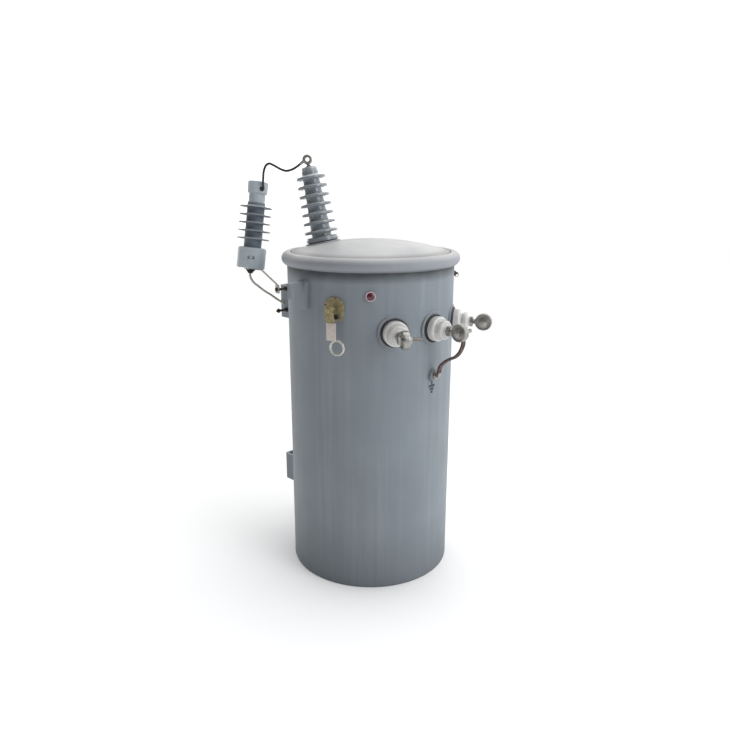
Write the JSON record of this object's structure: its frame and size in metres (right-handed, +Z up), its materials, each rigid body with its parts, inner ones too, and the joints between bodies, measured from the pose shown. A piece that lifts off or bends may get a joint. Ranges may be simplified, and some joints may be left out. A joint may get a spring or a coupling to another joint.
{
  "type": "pole mounted transformer",
  "caption": "Round steel transformer tank with a domed clamped cover, cover bushing, surge arrester, wall bushings, breaker handle and pole hangers.",
  "frame": {"origin": "centre of the tank's flat bottom, on the floor", "axes": "+Z up along the tank, +Y towards the pole that the hangers bolt to, +X to the right seen from the pole's far side"},
  "size_m": [0.604, 0.728, 1.2604],
  "materials": {
    "tank_paint": "satin",
    "cover_paint": "satin",
    "core_steel": "matte",
    "black_rubber": "matte",
    "dark_steel": "satin",
    "grey_glaze": "gloss",
    "cast_aluminium": "satin",
    "tinned_metal": "satin",
    "grey_polymer": "satin",
    "galvanised_steel": "satin",
    "earth_cable": "satin",
    "bronze": "satin",
    "signal_ring": "satin",
    "signal_red": "gloss",
    "dark_braid": "matte",
    "ivory_porcelain": "gloss"
  },
  "bodies": {
    "tank": {"tank_wall": "tank_paint", "tank_bottom": "tank_paint", "core_and_coils": "core_steel", "cover_gasket": "black_rubber", "cover": "cover_paint", "cover_band": "cover_paint", "band_clamp": "cover_paint", "lifting_hook_left": "tank_paint", "lifting_hook_right": "tank_paint", "upper_hanger": "tank_paint", "lower_hanger": "tank_paint", "side_bolts": "dark_steel", "hv_gasket": "black_rubber", "hv_flange": "cast_aluminium", "hv_bushing": "grey_glaze", "hv_cap": "tinned_metal", "hv_terminal": "tinned_metal", "hv_lead": "black_rubber", "arrester_cap": "grey_polymer", "arrester_housing": "grey_polymer", "arrester_base": "grey_polymer", "arrester_disconnector": "black_rubber", "arrester_bracket": "galvanised_steel", "arrester_ground_lead": "earth_cable", "breaker_boss": "bronze", "breaker_shaft": "tinned_metal", "breaker_button": "black_rubber", "signal_bezel": "signal_ring", "signal_lens": "signal_red", "relief_valve": "bronze", "earthing_pad": "tank_paint", "earthing_strap": "dark_braid", "lv_gaskets": "black_rubber", "lv_bushing_left": "ivory_porcelain", "lv_bushing_middle": "ivory_porcelain", "lv_bushing_right": "ivory_porcelain", "lv_terminal_left": "tinned_metal", "lv_terminal_middle": "tinned_metal", "lv_terminal_right": "tinned_metal", "lv_bolt_left": "tinned_metal", "lv_bolt_middle": "tinned_metal", "lv_bolt_right": "tinned_metal"},
    "handle": {"handle_lever": "bronze", "handle_tab": "galvanised_steel", "handle_eye": "tinned_metal"}
  },
  "joints": [
    {"name": "breaker_swing", "type": "hinge", "parent": "tank", "child": "handle", "pos_m": [-0.26147, -0.10564, 0.85], "axis": [-0.9272, -0.3746, 0], "range_deg": [0, 90]}
  ]
}
